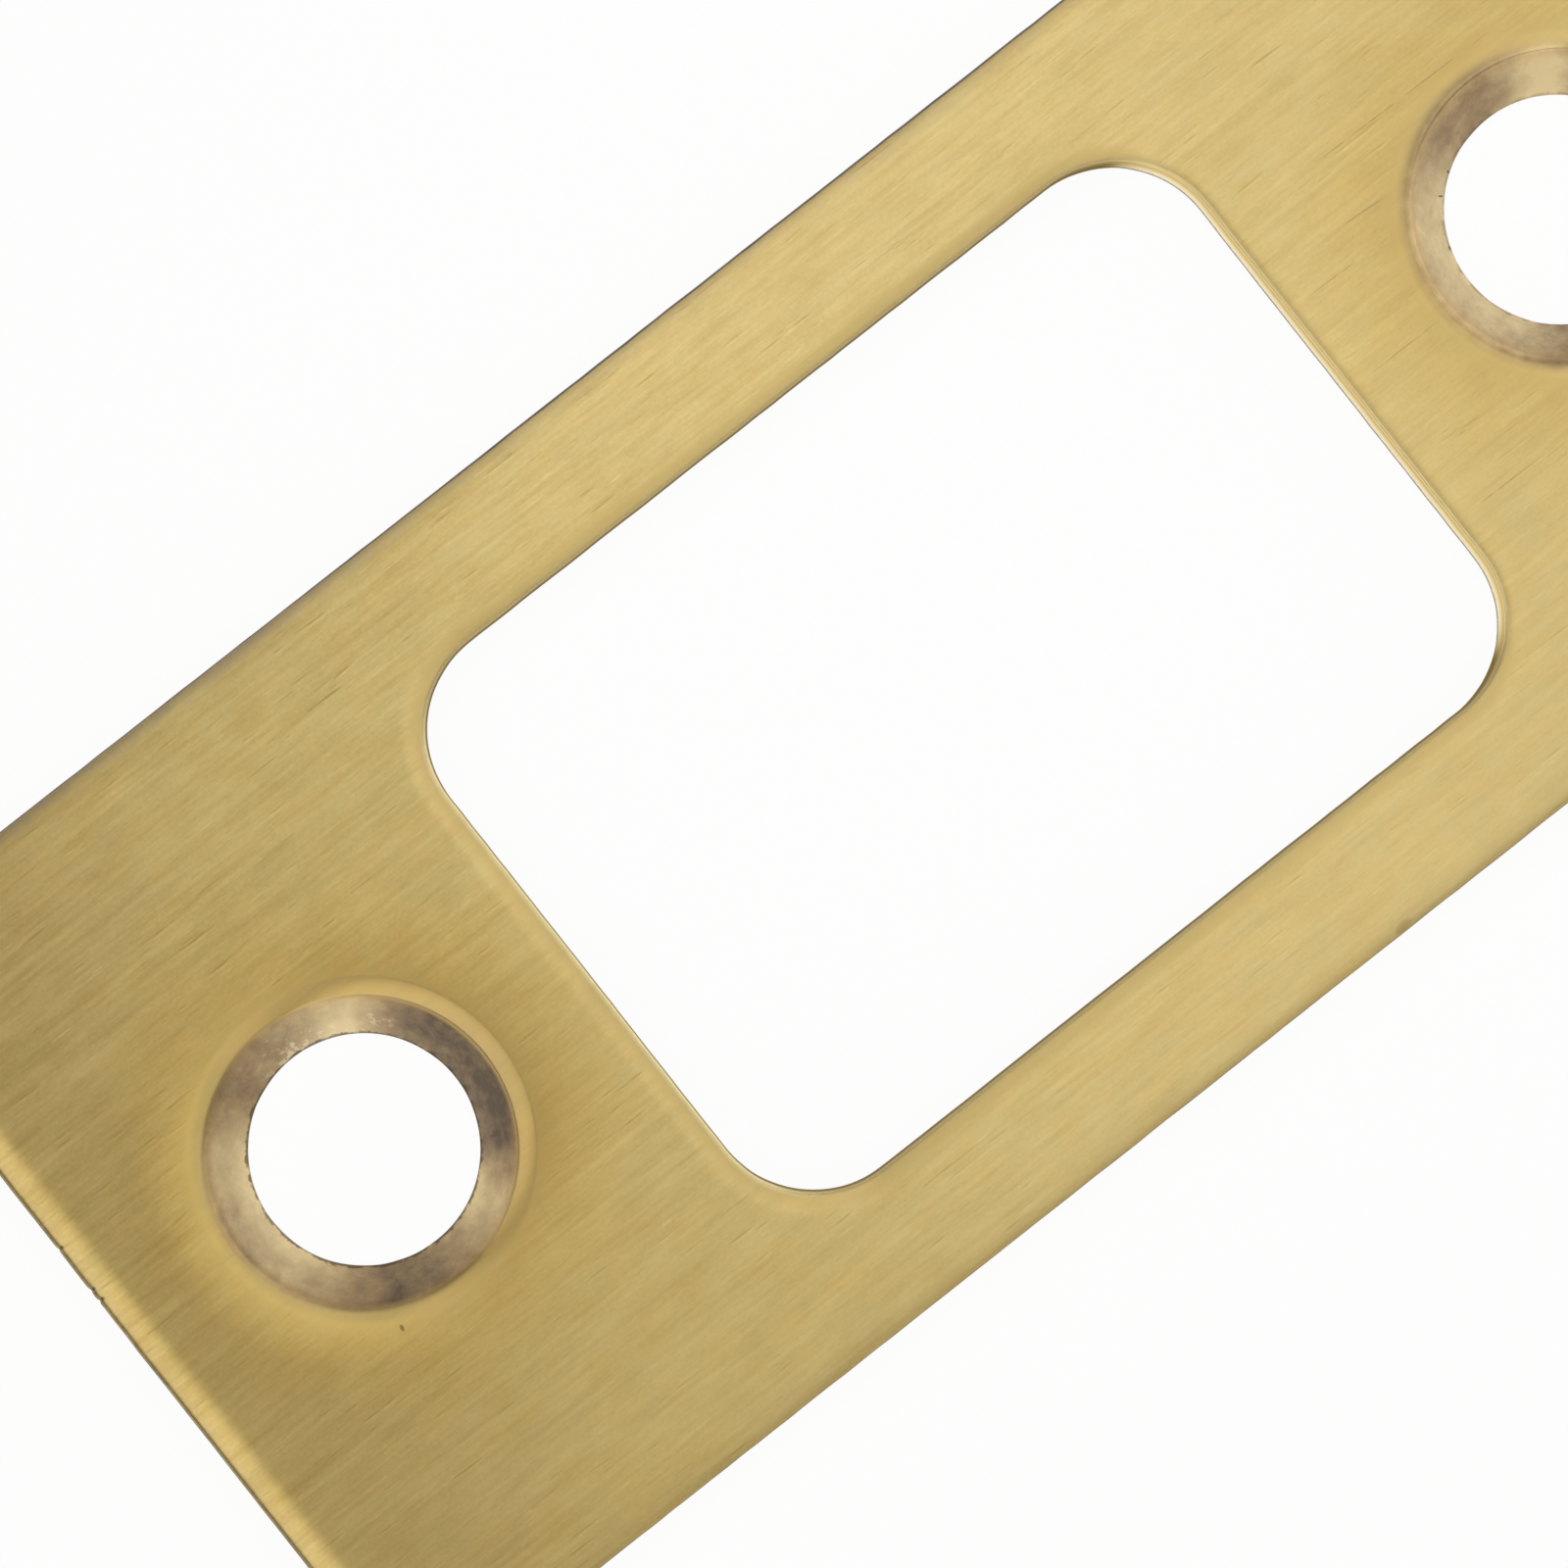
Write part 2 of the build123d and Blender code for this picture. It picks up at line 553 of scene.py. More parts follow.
def plate_shell():
    """The whole plate: outer band, opening band, two countersinks and two flats."""
    shell = Shell()
    outline = rounded_rectangle(plate_length, plate_width, corner_radius, outline_step)
    outer = add_band(shell, outline, 1, outer_roll_width, outer_roll_depth, "edge")
    outline = rounded_rectangle(opening_length, opening_width, opening_corner_radius, outline_step)
    opening = add_band(shell, outline, -1, opening_roll_width, opening_roll_depth, "lip")
    holes = []
    for hole in (left_hole, right_hole):
        grid, fields = countersink_grid(hole)
        holes.append(shell.add_grid(grid, BRUSHED, fields))
    for end, height, finish in ((0, 0.0, BACK), (1, face_height, BRUSHED)):
        loops = [outer[end], opening[end], holes[0][end], holes[1][end]]
        shell.add_flat(loops, height, finish)
    return shell


def build_plate(materials):
    """Makes the shell a mesh, with smooth shading that breaks at the sheared edges."""
    shell = plate_shell()
    mesh = bpy.data.meshes.new("plate_skin")
    mesh.from_pydata(shell.points.tolist(), [], shell.faces)
    mesh.polygons.foreach_set("material_index", np.concatenate(shell.finish).astype(np.int32))
    for name, values in shell.fields.items():
        field = mesh.attributes.new(name, "FLOAT", "POINT")
        field.data.foreach_set("value", values.astype(np.float32))
    work = bmesh.new()
    work.from_mesh(mesh)
    bmesh.ops.recalc_face_normals(work, faces=work.faces)
    work.to_mesh(mesh)
    work.free()
    mesh.shade_smooth()
    mesh.set_sharp_from_angle(angle=sharp_angle)
    for material in materials:
        mesh.materials.append(material)
    piece = bpy.data.objects.new("plate_skin", mesh)
    bpy.context.scene.collection.objects.link(piece)
    return piece


class Socket:
    """A shader value: arithmetic on it adds the Math nodes."""

    def __init__(self, tree, link):
        self.tree, self.link = tree, link

    def math(self, operation, *others):
        """A Math node on this value and the others, in that order."""
        return self.tree.add("Math", {"operation": operation}, [self, *others])["Value"]

    def __add__(self, other):
        return self.math("ADD", other)

    def __radd__(self, other):
        return self.math("ADD", other)

    def __sub__(self, other):
        return self.math("SUBTRACT", other)

    def __rsub__(self, other):
        return self.tree.add("Math", {"operation": "SUBTRACT"}, [other, self])["Value"]

    def __mul__(self, other):
        return self.math("MULTIPLY", other)

    def __truediv__(self, other):
        return self.math("DIVIDE", other)


def opaque(colour):
    """A colour as a node takes it: a socket as it is, or red, green and blue with alpha."""
    return colour if isinstance(colour, Socket) else (*colour, 1)


class Tree:
    """A node tree whose nodes all come from one method."""

    def __init__(self, owner):
        owner.use_nodes = True
        self.tree = owner.node_tree
        self.tree.nodes.clear()

    def add(self, kind, settings=None, inputs=None):
        """Adds a node, sets its settings and then its sockets; gives its outputs."""
        node = self.tree.nodes.new("ShaderNode" + kind)
        for name, value in (settings or {}).items():
            setattr(node, name, value)
        pairs = inputs.items() if isinstance(inputs, dict) else enumerate(inputs or [])
        for name, value in pairs:
            if isinstance(value, Socket):
                self.tree.links.new(value.link, node.inputs[name])
            elif value is not None:
                node.inputs[name].default_value = value
        return {output.name: Socket(self, output) for output in node.outputs}

    def blend(self, factor, a, b, kind="MIX"):
        """Colour a where the factor is 0 and colour b, or another mix of both, where it is 1.

        A colour is a socket, or red, green and blue.
        """
        settings = {"data_type": "RGBA", "blend_type": kind}
        made = self.add("Mix", settings, {0: factor, 6: opaque(a), 7: opaque(b)})
        return Socket(self, made["Result"].link.node.outputs[2])

    def tint(self, factor, colour, by):
        """The colour multiplied by another where the factor is 1."""
        return self.blend(factor, colour, by, "MULTIPLY")

    def noise(self, scale, detail, roughness, offset=(0, 0, 0)):
        """Noise from 0 to 1 with about that many grains a metre along each axis."""
        place = self.add("TexCoord")["Object"]
        vector = self.add("Mapping", None, {0: place, 1: offset, 3: scale})["Vector"]
        inputs = {"Vector": vector, "Scale": 1.0, "Detail": detail, "Roughness": roughness}
        return self.add("TexNoise", None, inputs)["Fac"]

    def place(self):
        """Object coordinates as three separate values."""
        return self.add("SeparateXYZ", None, [self.add("TexCoord")["Object"]])

    def field(self, name):
        """A field that the mesh keeps on its points."""
        return self.add("Attribute", {"attribute_name": name})["Fac"]

    def step(self, value, low, high, to_low=0.0, to_high=1.0):
        """A smooth step from one value to another between two limits."""
        inputs = {0: value, 1: low, 2: high, 3: to_low, 4: to_high}
        return self.add("MapRange", {"interpolation_type": "SMOOTHSTEP"}, inputs)["Result"]

    def bump(self, height, strength, distance):
        """A normal roughened by a height."""
        inputs = {"Strength": strength, "Distance": distance, "Height": height}
        return self.add("Bump", None, inputs)["Normal"]

    def metal(self, **inputs):
        """A metal shader; an input's name has _ for each space."""
        named = {name.replace("_", " "): value for name, value in inputs.items()}
        return self.add("BsdfPrincipled", None, {"Metallic": 1.0, **named})["BSDF"]

    def mixed(self, share, first, second):
        """The first shader where the share is 0, and the second where it is 1."""
        return self.add("MixShader", None, [share, first, second])["Shader"]

    def output(self, shader, kind="Material"):
        """Makes a shader the surface of a material or of the world."""
        self.add("Output" + kind, None, {"Surface": shader})


def grey(level):
    return (level, level, level, 1)


def from_screw(tree):
    """The distance from the axis of the nearer screw hole."""
    place = tree.place()
    along = place["X"].math("ABSOLUTE") - screw_x
    return (along * along + place["Y"] * place["Y"]).math("SQRT")


# Limits of steps that are 1 at the upper outer edge, and that grow towards the left end.
upper_limits = (11.2 * MM, 12.0 * MM)
left_limits = (-4 * MM, -16 * MM)

# Limits of steps that are 1 at the opening's walls and 0 at the outer ones, each way.
inner_limits_x = (14.0 * MM, 13.5 * MM)
inner_limits_y = (10.0 * MM, 9.5 * MM)


def upper_side(tree):
    """1 along the plate's upper outer edge."""
    return tree.step(tree.place()["Y"], *upper_limits)


def towards_left(tree, at_middle, at_left):
    """A value that changes from near the plate's middle to near its left end."""
    return tree.step(tree.place()["X"], *left_limits, at_middle, at_left)


def lit_opening_end(tree):
    """Where a painted highlight lies on the opening: 1 on the side towards the right hole."""
    place = tree.place()
    across = tree.step(place["Y"].math("ABSOLUTE"), 9.3 * MM, 8.6 * MM)
    starts = tree.step(place["X"], 11.5 * MM, 12.6 * MM)
    return starts * tree.step(place["X"], *inner_limits_x) * across


def marked(tree):
    """Where the face has a spot or a scratch: soft ellipses, the scratches broken by noise."""
    place = tree.place()
    breaks = tree.step(tree.noise((1800, 3000, 100), 1.0, 0.5, (6, 3, 0)), 0.35, 0.55)
    darkness = breaks * scratch_darkness
    marks = list(spots)
    for x0, y0, x1, y1 in scratches:
        middle = ((x0 + x1) / 2, (y0 + y1) / 2)
        slope = (y1 - y0) / (x1 - x0)
        marks.append((*middle, (x1 - x0) / 2, scratch_half_width, slope, darkness))
    total = 0.0
    for x, y, half_length, half_width, slope, strength in marks:
        from_x = place["X"] - x * MM
        along = from_x / (half_length * MM)
        across = (place["Y"] - from_x * slope - y * MM) / (half_width * MM)
        mark = tree.step(along * along + across * across, 0.1, 1.1, 1.0, 0.0)
        total = mark * strength + total
    return total.math("MINIMUM", 1.0)


# Noises of the brushed face: grains a metre along X, Y and Z, detail, roughness, offset.
face_noises = {
    "fine": ((1100, 10000, 1000), 2.0, 0.55),
    "streaks": ((260, 6000, 300), 2.0, 0.5, (2, 4, 0)),
    "bands": ((110, 2300, 200), 2.0, 0.5, (3, 1, 0)),
    "specks": ((8000, 9500, 8000), 1.0, 0.5, (4, 8, 0)),
    "clouds": ((700, 1400, 900), 2.0, 0.5, (8, 3, 0)),
    "patches": ((900, 1500, 900), 3.0, 0.6, (2, 5, 0)),
    "dark_lines": ((650, 12000, 400), 2.0, 0.6, (7, 2, 0)),
    "lit_lines": ((650, 12000, 400), 2.0, 0.6, (7, 2.8, 0)),
    "glints": ((900, 14000, 400), 2.0, 0.6, (1, 9, 0)),
}

# How much each noise moves the grain's tone.
grain_amounts = {"fine": 0.30, "streaks": 0.42, "bands": 0.28, "specks": 0.22, "clouds": 0.3}

# Hairlines: between which of the noise's values they appear, and how they move the tone.
# Glints and lit lines are painted highlights; the dark lines are scratches.
hairlines = {
    "glints": (0.67, 0.77, 0.25),
    "lit_lines": (0.35, 0.24, 0.12),
    "dark_lines": (0.35, 0.24, -0.34),
}

# The brushing's strength in the plate's middle, what it gains for each metre to the left
# and upwards, and the share that is lost where the shoulder is smooth.
brushing = 0.86
brushing_gain_left = 9
brushing_gain_up = 14
smoothing = 0.7

# The brushed face's colours. Deep and light brass have two hues each.
deep_brass = ((0.548, 0.359, 0.089), (0.534, 0.367, 0.103))
light_brass = ((0.994, 0.793, 0.353), (0.980, 0.801, 0.367))
near_hole_tint = (0.97, 0.92, 0.80)
# The colour of the painted shade on the upper outer edge.
upper_edge_shade_colour = (0.66, 0.52, 0.33)
face_mark_colour = (0.24, 0.15, 0.06)


def brushed_brass():
    """Lacquered brass brushed along X, and in the cones the duller metal that the punch left,
    with painted light and shade on it.

    The tone is a sum of long fine streaks, broad bands, soft clouds and sparse hairlines,
    each a noise drawn out along X. It moves the colour between a deep and a light brass.
    Each dark hairline has a painted highlight beside it, on the lip of the scratch, and
    some hairlines are painted glints. The brushing is a little stronger towards the left end
    and the upper side.
    """
    material = bpy.data.materials.new("satin_brass")
    tree = Tree(material)
    place = tree.place()
    noise = {name: tree.noise(*settings) for name, settings in face_noises.items()}
    parts = {name: (noise[name] - 0.5) * amount for name, amount in grain_amounts.items()}
    for name, (low, high, amount) in hairlines.items():
        parts[name] = tree.step(noise[name], low, high) * amount
    grain = sum(parts.values())
    strength = place["Y"] * brushing_gain_up - place["X"] * brushing_gain_left + brushing
    tone = grain * strength * (1 - tree.field("smooth") * smoothing) + 0.5
    hue = tree.step(noise["patches"], 0.35, 0.65)
    colour = tree.blend(tone, tree.blend(hue, *deep_brass), tree.blend(hue, *light_brass))
    near_hole = tree.step(from_screw(tree), 8.2 * MM, 5.0 * MM)
    colour = tree.tint(near_hole, colour, near_hole_tint)
    # Painted light and shade on the pressed shoulder.
    colour = tree.tint(tree.field("ring"), colour, shoulder_light_and_shade(tree))
    # Painted shade along the upper outer edge.
    colour = tree.blend(upper_edge_shade(tree), colour, upper_edge_shade_colour)
    # Painted light and shade on the opening's roll.
    colour = with_lip(tree, colour)
    # A painted shadow line at the outer edge.
    colour = with_edge_shadow(tree, colour, noise["patches"])
    marks = marked(tree)
    furrows = parts["fine"] + parts["streaks"] + parts["dark_lines"]
    face = tree.metal(
        Base_Color=tree.blend(marks, colour, face_mark_colour),
        Roughness=0.42 + (noise["bands"] - 0.5) * 0.12,
        Anisotropic=0.9,
        Coat_Weight=0.5,
        Coat_Roughness=0.3,
        Normal=tree.bump(furrows, 0.25, 0.008 * MM),
    )
    tree.output(tree.mixed(tree.field("pressed"), face, punched_metal(tree, marks)))
    return material


# Painted light and shade on the pressed shoulder along and across the plate, each left
# and right.
shoulder_along = ((0.91, 0.92, 1.06), (1.03, 1.04, 1.06))
shoulder_across = ((1.08, 1.09, 1.16), (1.06, 1.07, 1.14))

# On the left hole's soft side: painted shade near the mouth, and painted light further
# out above and below.
soft_shoulder_near_shade = (0.86, 0.87, 0.81)
soft_shoulder_far_light = ((1.09, 1.09, 1.02), (1.17, 1.18, 1.16))


def shoulder_light_and_shade(tree):
    """Painted light and shade on the pressed shoulder, as it lies in the light: lighter
    across the plate than along it.

    On the soft side of the left hole it has painted shade near the mouth and painted light
    further out.
    """
    place = tree.place()
    radius = from_screw(tree)
    right = tree.step(place["X"], -MM, MM)
    along_tone = tree.blend(right, *shoulder_along)
    across_tone = tree.blend(right, *shoulder_across)
    across = place["Y"] * place["Y"] / (radius * radius)
    tone = tree.blend(across, along_tone, across_tone)
    lower = tree.step(place["Y"], 1.0 * MM, -2.0 * MM)
    outwards = tree.step(radius, 4.38 * MM, 4.68 * MM)
    soft_tone = tree.blend(outwards, soft_shoulder_near_shade, tree.blend(lower, *soft_shoulder_far_light))
    soft = tree.step(place["X"] + screw_x, -0.8 * MM, -2.8 * MM)
    return tree.blend(soft, tone, soft_tone)


def upper_edge_shade(tree):
    """Painted shade on the upper outer edge's roll: a mottled strip, stronger towards the left
    end.
    """
    mottle = tree.noise((2500, 2500, 2500), 3.0, 0.6, (9, 1, 0))
    strip = tree.step(tree.field("edge") + (mottle - 0.5) * 0.7, 0.5, 0.95)
    return strip * upper_side(tree) * towards_left(tree, 0.25, 0.8)


# A painted shadow line at the outer edge, under its burr: its limits on the edge's field,
# how ragged it is, how much wider it is above on the right, and its colours below and
# above.
edge_shadow_limits = (0.948, 0.978)
edge_shadow_raggedness = 0.04
edge_shadow_widening = 0.03
edge_shadow_colours = ((0.16, 0.11, 0.085), (0.17, 0.135, 0.13))


def with_edge_shadow(tree, colour, ragged):
    """The colour with a painted shadow line at the outer edge, which is fainter at the lower
    side.
    """
    upper = upper_side(tree)
    wider = upper * towards_left(tree, edge_shadow_widening, 0.0)
    reach = tree.field("edge") + (ragged - 0.5) * edge_shadow_raggedness + wider
    strength = tree.step(tree.place()["Y"], -12.4 * MM, -11.8 * MM, 0.5, 0.9)
    line = tree.step(reach, *edge_shadow_limits) * strength
    return tree.blend(line, colour, tree.blend(upper, *edge_shadow_colours))


# Painted light and shade on the opening's roll: painted shade on its middle, a painted
# highlight on its side towards the right hole, and on its rim painted shade along the long
# sides and a painted highlight at the ends.
lip_shade_colour = (0.66, 0.485, 0.175)
lip_highlight_colour = (0.98, 0.80, 0.42)
long_rim_shade_colour = (0.60, 0.46, 0.20)
end_rim_highlight_colour = (1.0, 0.90, 0.55)


def with_lip(tree, colour):
    """The colour with painted light and shade on the opening's roll: painted shade on most of
    it, and painted highlights on its side towards the right hole and its rim at the ends.
    """
    lip = tree.field("lip")
    bright = lit_opening_end(tree)
    away_from_highlight = 1 - bright
    long_side = tree.step(tree.place()["Y"].math("ABSOLUTE"), 7.2 * MM, 8.8 * MM)
    shaded_middle = tree.step(lip, 0.2, 0.75) * tree.step(lip, 0.95, 0.82) * away_from_highlight
    colour = tree.blend(shaded_middle * 0.8, colour, lip_shade_colour)
    colour = tree.blend(tree.step(lip, 0.8, 0.95) * bright, colour, lip_highlight_colour)
    long_rim = tree.step(lip, 0.82, 0.95) * long_side * away_from_highlight
    colour = tree.blend(long_rim * 0.55, colour, long_rim_shade_colour)
    end_rim = tree.step(lip, 0.78, 0.9) * (1 - long_side) * away_from_highlight
    return tree.blend(end_rim * 0.42, colour, end_rim_highlight_colour)


# The punched metal's colours, from dirty and in painted shade over worn to clean and in
# painted light, and the tone of the worn, half lit metal.
dirty_shaded_colour = (0.168, 0.131, 0.098)
worn_half_lit_colour = (0.433, 0.320, 0.185)
clean_lit_colour = (0.93, 0.755, 0.43)
worn_half_lit_tone = 0.35

# Its other colours.
# The colour of the painted glints on the left cone.
glint_colour = (1.0, 0.89, 0.64)
mouth_tint = (1.0, 0.94, 0.87)
cone_mark_colour = (0.06, 0.045, 0.03)
rim_colour = (0.10, 0.07, 0.05)


def punched_metal(tree, marks):
    """The cone's metal: brown and pitted, with painted light and shade about the hole, partly
    cleaner metal, given by a field.

    It is brassier at the mouth and dark at the bore's ragged rim. The left hole has painted
    glints near the bore on its upper right side.
    """
    place = tree.place()
    radius = from_screw(tree)
    left = tree.step(place["X"], MM, -MM)
    blobs = tree.noise((2600, 2600, 2600), 3.0, 0.6)
    pits = tree.noise((11000, 11000, 11000), 2.0, 0.5, (5, 0, 0))
    cloud = tree.noise((1300, 1300, 1300), 2.0, 0.5, (0, 4, 0))
    glint_noise = tree.noise((4200, 4200, 4200), 3.0, 0.6, (3, 7, 0))

    # The field's painted light and shade and cleaner metal, with noise, set the tone.
    level = tree.field("lit_and_clean") + (blobs - 0.5) * 0.38 + (cloud - 0.5) * 0.42 + (pits - 0.5) * 0.12
    tone = level.math("MAXIMUM", 0.0).math("MINIMUM", 1.0)
    colour = tree.blend(tone / worn_half_lit_tone, dirty_shaded_colour, worn_half_lit_colour)
    colour = tree.blend((tone - worn_half_lit_tone) / (1 - worn_half_lit_tone), colour, clean_lit_colour)

    # Painted glints near the left hole's bore, on its upper right side.
    shine = tree.step(glint_noise - (radius - bore_radius) / MM * 0.2, 0.50, 0.60)
    shine = shine * tree.step(place["Y"], 1.8 * MM, 2.8 * MM)
    shine = shine * left * tree.step(place["X"], -21.8 * MM, -20.6 * MM)
    colour = tree.blend(shine * 0.5, colour, glint_colour)
    at_mouth = tree.step(radius, mouth_radius - 0.3 * MM, mouth_radius - 0.05 * MM)
    colour = tree.tint(at_mouth, colour, mouth_tint)
    colour = tree.blend(marks, colour, cone_mark_colour)
    ragged = radius + (blobs - 0.5) * 0.3 * MM
    rim = tree.step(ragged, bore_radius + 0.03 * MM, bore_radius + 0.08 * MM, 1.0, 0.0)
    colour = tree.blend(rim * (left * 0.45 + 0.3), colour, rim_colour)
    normal = tree.bump(blobs * 0.6 + pits * 0.4, 0.5, 0.02 * MM)
    return tree.metal(Base_Color=colour, Roughness=0.46 - blobs * 0.12, Normal=normal)


# The sheared wall's colours. The score lines run between the first two.
score_colours = ((0.44, 0.32, 0.07), (0.62, 0.48, 0.13))
outer_wall_tint = (1.08, 0.97, 1.55)
# Painted shade on the opening's walls.
opening_wall_shade = (0.3, 0.28, 0.25)
# A painted highlight on the opening's wall towards the right hole, and low down on it a painted
# reflection of the white floor.
wall_highlight_colour = (0.80, 0.62, 0.20)
torn_wall_reflection_colour = (1.0, 0.95, 0.78)
burr_colour = (0.20, 0.16, 0.12)
wall_sheen = (0.90, 0.74, 0.45, 1)


def sheared_brass():
    """The blanked wall: upright score lines, smooth near the face and torn below.

    A dark burr runs along the back. In the opening the wall has painted shade, and on its
    side towards the right hole a painted highlight, with a painted reflection of the white
    floor low down.
    """
    material = bpy.data.materials.new("sheared_wall")
    tree = Tree(material)
    place = tree.place()
    height = place["Z"]
    score = tree.noise((16000, 16000, 700), 2.0, 0.6)
    torn = tree.step(height, 1.25 * MM, 0.6 * MM)
    burr = tree.step(height + (score - 0.5) * 0.2 * MM, 0.3 * MM, 0.2 * MM)
    opening = tree.step(place["Y"].math("ABSOLUTE"), *inner_limits_y)
    opening = opening * tree.step(place["X"].math("ABSOLUTE"), *inner_limits_x)
    bright = lit_opening_end(tree)
    colour = tree.blend(score, *score_colours)
    colour = tree.tint(1 - opening, colour, outer_wall_tint)
    # Painted shade on the opening's walls, and a painted highlight and reflection on its side
    # towards the right hole.
    colour = tree.tint(opening * (1 - bright), colour, opening_wall_shade)
    colour = tree.blend(bright * 0.6, colour, wall_highlight_colour)
    colour = tree.blend(torn * bright, colour, torn_wall_reflection_colour)
    tree.output(tree.metal(
        Base_Color=tree.blend(burr * 0.8, colour, burr_colour),
        Roughness=0.3 + torn * 0.25,
        Specular_Tint=wall_sheen,
        Normal=tree.bump(score, 0.5, 0.02 * MM),
    ))
    return material


def back_brass():
    """The back as it was rolled: faint long lines and a cloudy tone."""
    material = bpy.data.materials.new("rolled_back")
    tree = Tree(material)
    lines = tree.noise((300, 9000, 300), 3.0, 0.6)
    cloud = tree.noise((160, 160, 160), 3.0, 0.6)
    tree.output(tree.metal(
        Base_Color=tree.blend(cloud, (0.48, 0.35, 0.14), (0.76, 0.57, 0.24)),
        Roughness=0.38 + lines * 0.15,
        Normal=tree.bump(lines, 0.3, 0.01 * MM),
    ))
    return material


def texture_space(mesh, direction, reach=1000.0):
    """Puts the mesh's texture space far off, so that its turned grain runs straight.

    With no UV tangent a shader takes its grain round the middle of the texture space. A
    middle far along one axis makes that a constant direction across the other axis.
    """
    mesh.use_auto_texspace = False
    mesh.texspace_location = Vector(direction) * reach
    mesh.texspace_size = (1, 1, 1)


def carried_about(radius, height, around):
    """A profile of radius and height turned about the Z axis, as a closed grid."""
    angle = np.linspace(0, 2 * np.pi, around, endpoint=False)[:, None]
    level = np.broadcast_to(height, (around, len(height)))
    return np.dstack((radius * np.cos(angle), radius * np.sin(angle), level))


# The floor: its size, how it curves up, how far it lies under the plate, and how finely
# it is cut.
floor_radius = 1.4
floor_bend = 0.1
backdrop_top = 0.3
floor_drop = 0.03 * MM
bend_points = 9
points_round_floor = 72

# How much of the floor's look is a plain white glow, and the level of the paint under it.
floor_glow = 0.95
floor_paint = 0.95


def make_floor():
    """A pale round floor that curves up into a low backdrop, white to look at.

    The profile is level, then a quarter circle, then upright.
    """
    turn = np.linspace(0, np.pi / 2, bend_points)
    bend_radius = floor_radius - floor_bend + floor_bend * np.sin(turn)
    bend_height = floor_bend - floor_bend * np.cos(turn)
    radius = np.concatenate(([MM], bend_radius, [floor_radius]))
    height = np.concatenate(([0.0], bend_height, [backdrop_top])) - floor_drop
    grid = carried_about(radius, height, points_round_floor)
    around, across = grid.shape[:2]
    index = np.arange(around * across).reshape(around, across)
    after = np.roll(index, -1, axis=0)
    quads = np.stack((index[:, :-1], index[:, 1:], after[:, 1:], after[:, :-1]), axis=-1)
    faces = quads.reshape(-1, 4).tolist() + [index[:, 0].tolist()]
    mesh = bpy.data.meshes.new("floor")
    mesh.from_pydata(grid.reshape(-1, 3).tolist(), [], faces)
    mesh.shade_smooth()
    mesh.materials.append(floor_white())
    floor = bpy.data.objects.new("floor", mesh)
    bpy.context.scene.collection.objects.link(floor)


def floor_white():
    """Paint that glows white where it is seen and reflected.

    Its plain share keeps the plate's soft shadow.
    """
    material = bpy.data.materials.new("floor")
    tree = Tree(material)
    plain = tree.add("BsdfDiffuse", None, {"Color": grey(floor_paint)})["BSDF"]
    white = tree.add("Emission", None, {"Color": grey(1.0), "Strength": 1.0})["Emission"]
    path = tree.add("LightPath")
    seen = path["Is Camera Ray"] + path["Is Glossy Ray"] + path["Is Transmission Ray"]
    tree.output(tree.mixed(seen.math("MINIMUM", 1.0) * floor_glow, plain, white))
    return material


# Soft lights side by side over the plate: range in X and in Y in millimetres, level, colour.
light_height = 70 * MM
softboxes = {
    "main": ((-8, 66), (-20, 20), 0.95, (1.0, 1.0, 1.0)),
    "upper": ((-8, 66), (20, 60), 1.75, (1.0, 1.0, 1.0)),
    "lower": ((-8, 30), (-60, -20), 1.35, (1.0, 1.0, 1.0)),
    "lower_right": ((30, 66), (-60, -20), 0.93, (1.0, 1.0, 1.0)),
    "inner_left": ((-26, -8), (-60, 60), 0.94, (1.0, 0.99, 0.9)),
    "left_edge": ((-34, -26), (-60, 60), 0.85, (1.0, 0.93, 0.75)),
    "near_left": ((-60, -42), (-70, 70), 1.24, (1.0, 0.95, 0.78)),
    "middle_left": ((-82, -60), (-70, 70), 1.13, (1.0, 0.97, 0.95)),
    "far_left": ((-105, -82), (-70, 70), 1.3, (1.0, 0.97, 0.95)),
    "right": ((66, 160), (-60, 60), 0.75, (1.0, 0.96, 0.7)),
}


def make_softbox(name, across, along, level, colour):
    """A square-on soft light over the plate, spanning two ranges in millimetres."""
    data = bpy.data.lights.new(name, "AREA")
    data.shape = "RECTANGLE"
    data.size = (across[1] - across[0]) * MM
    data.size_y = (along[1] - along[0]) * MM
    data.energy = level * np.pi * data.size * data.size_y
    data.color = colour
    box = bpy.data.objects.new(name, data)
    box.location = (sum(across) / 2 * MM, sum(along) / 2 * MM, light_height)
    box.visible_camera = False
    bpy.context.scene.collection.objects.link(box)


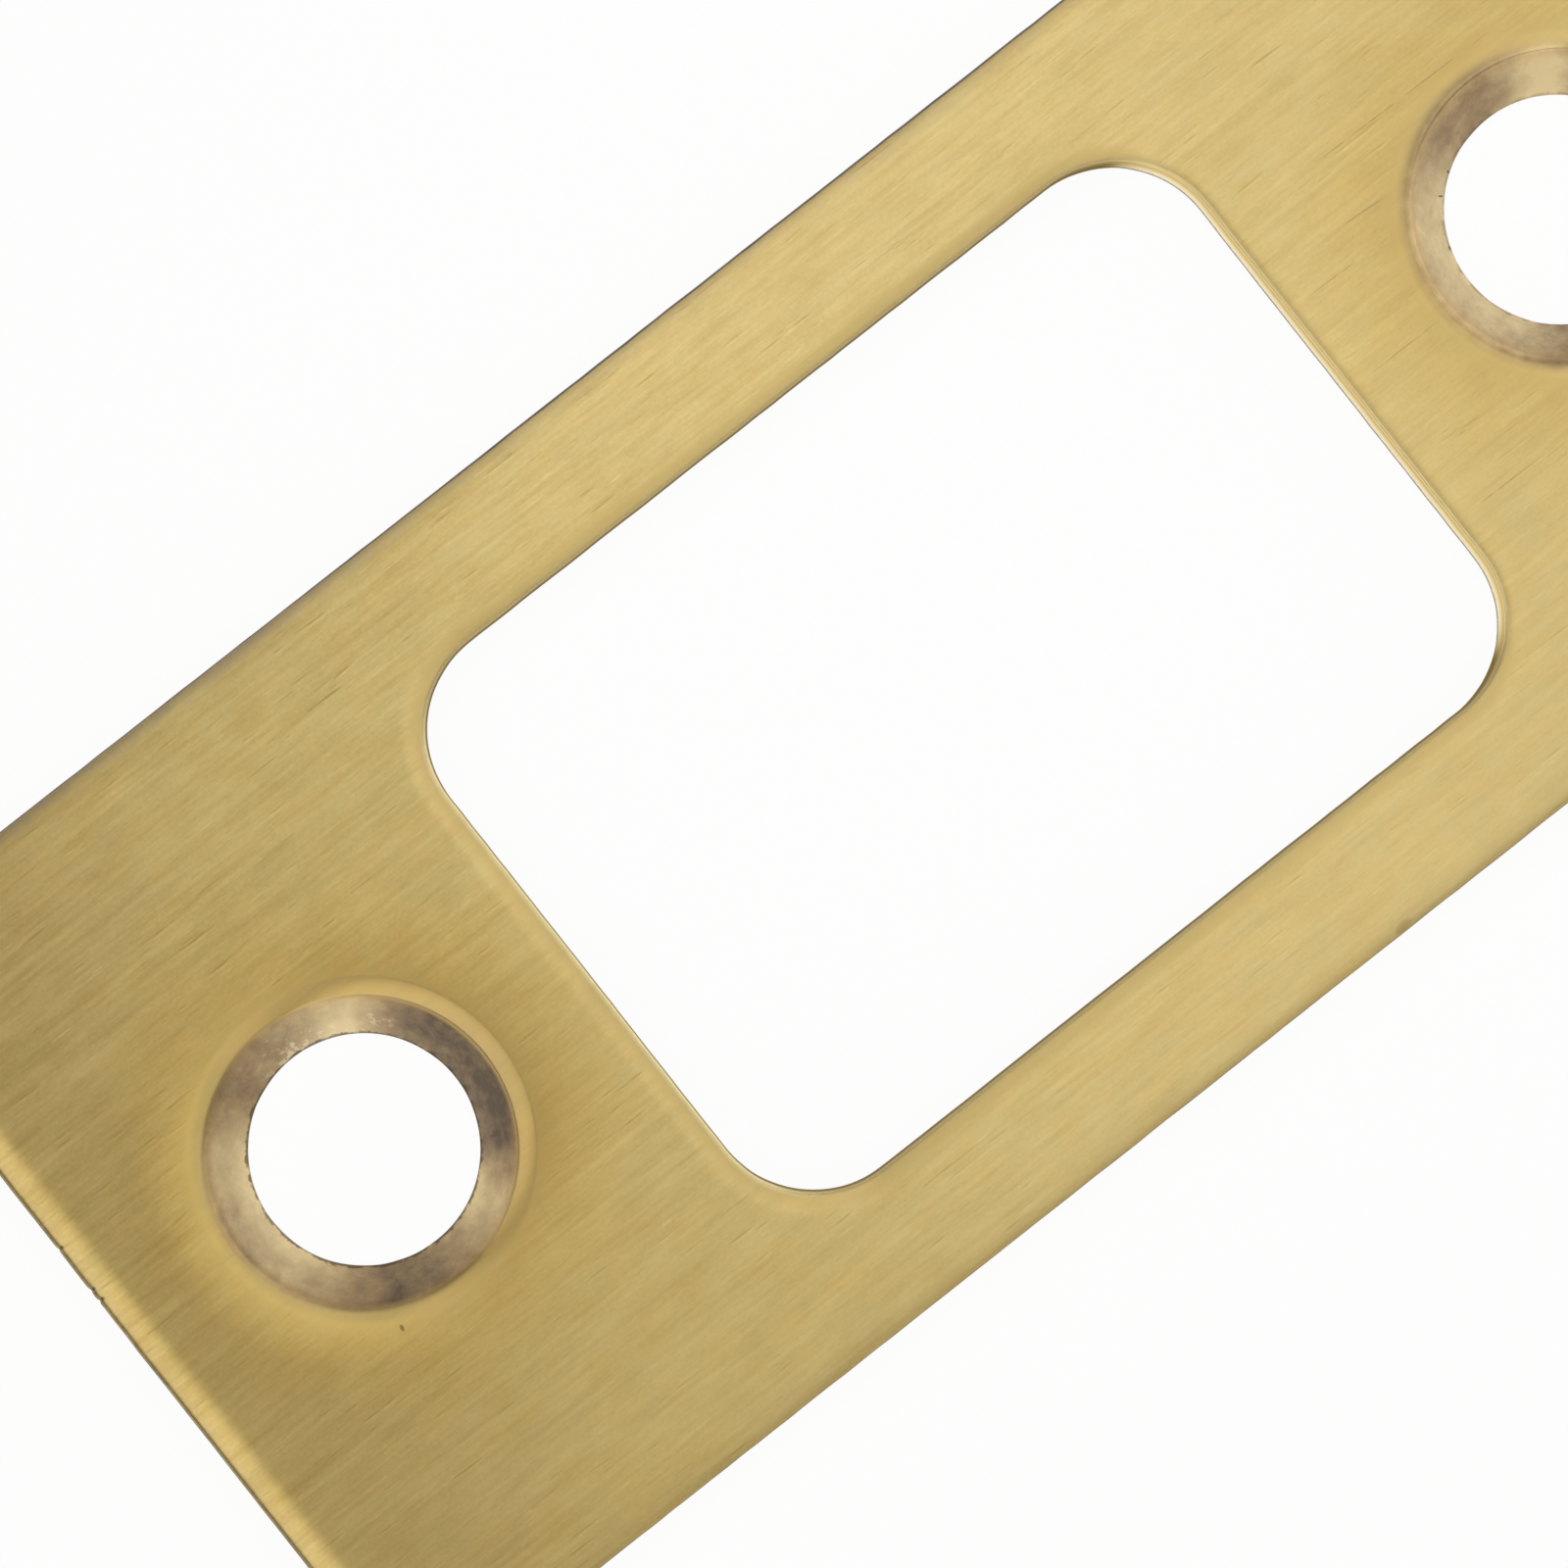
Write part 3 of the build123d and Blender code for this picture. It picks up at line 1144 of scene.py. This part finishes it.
# Soft side lights of the surroundings: direction about Z and spread in degrees, and level.
side_lights = ((0, 40, 2.2), (240, 30, 2.2))
side_light_softness = 0.25

# Between which upward parts of a direction, as its Z, the surroundings grow dark.
dark_above = (0.1, 0.7)


def make_world():
    """Dim surroundings with soft side lights low down, each at a direction about Z."""
    world = bpy.data.worlds.new("studio")
    bpy.context.scene.world = world
    tree = Tree(world)
    direction = tree.add("TexCoord")["Generated"]
    upwards = tree.add("SeparateXYZ", None, [direction])["Z"]
    level = 0.0
    for degrees, spread, amount in side_lights:
        unit = (np.cos(np.radians(degrees)), np.sin(np.radians(degrees)), 0)
        dot = tree.add("VectorMath", {"operation": "DOT_PRODUCT"}, [direction, unit])["Value"]
        edge = np.cos(np.radians(spread))
        limits = (edge - side_light_softness, edge + side_light_softness)
        level = tree.step(dot, *limits, 0.0, amount) + level
    strength = level * tree.step(upwards, *dark_above, 1.0, 0.0)
    light = tree.add("Background", None, {"Color": grey(1.0), "Strength": strength})["Background"]
    tree.output(light, "World")


# The photograph's view: where the camera stands, in millimetres, its right and its up.
camera_lens = 127.12
camera_place = (-9.324, 0.647, 149.815)
camera_right = (0.7857063, -0.6183028, 0.0191643)
camera_up = (0.6180988, 0.7859397, 0.0158926)


def make_camera():
    """The photograph's view: almost straight down, the plate's length up to the right."""
    camera = bpy.data.objects.new("camera", bpy.data.cameras.new("camera"))
    bpy.context.scene.collection.objects.link(camera)
    camera.data.sensor_width = 36.0
    camera.data.lens = camera_lens
    camera.data.clip_start = 0.01
    camera.data.clip_end = 10.0
    right, up = Vector(camera_right), Vector(camera_up)
    turn = Matrix((right, up, right.cross(up))).transposed().to_4x4()
    camera.matrix_world = Matrix.Translation(Vector(camera_place) * MM) @ turn
    bpy.context.scene.camera = camera


make_camera()
plate = build_plate([brushed_brass(), sheared_brass(), back_brass()])
texture_space(plate.data, (1, 0, 0))
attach(plate, "root")
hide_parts(NODE)
make_floor()
for name, settings in softboxes.items():
    make_softbox(name, *settings)
make_world()
bpy.context.scene.view_settings.view_transform = "Standard"
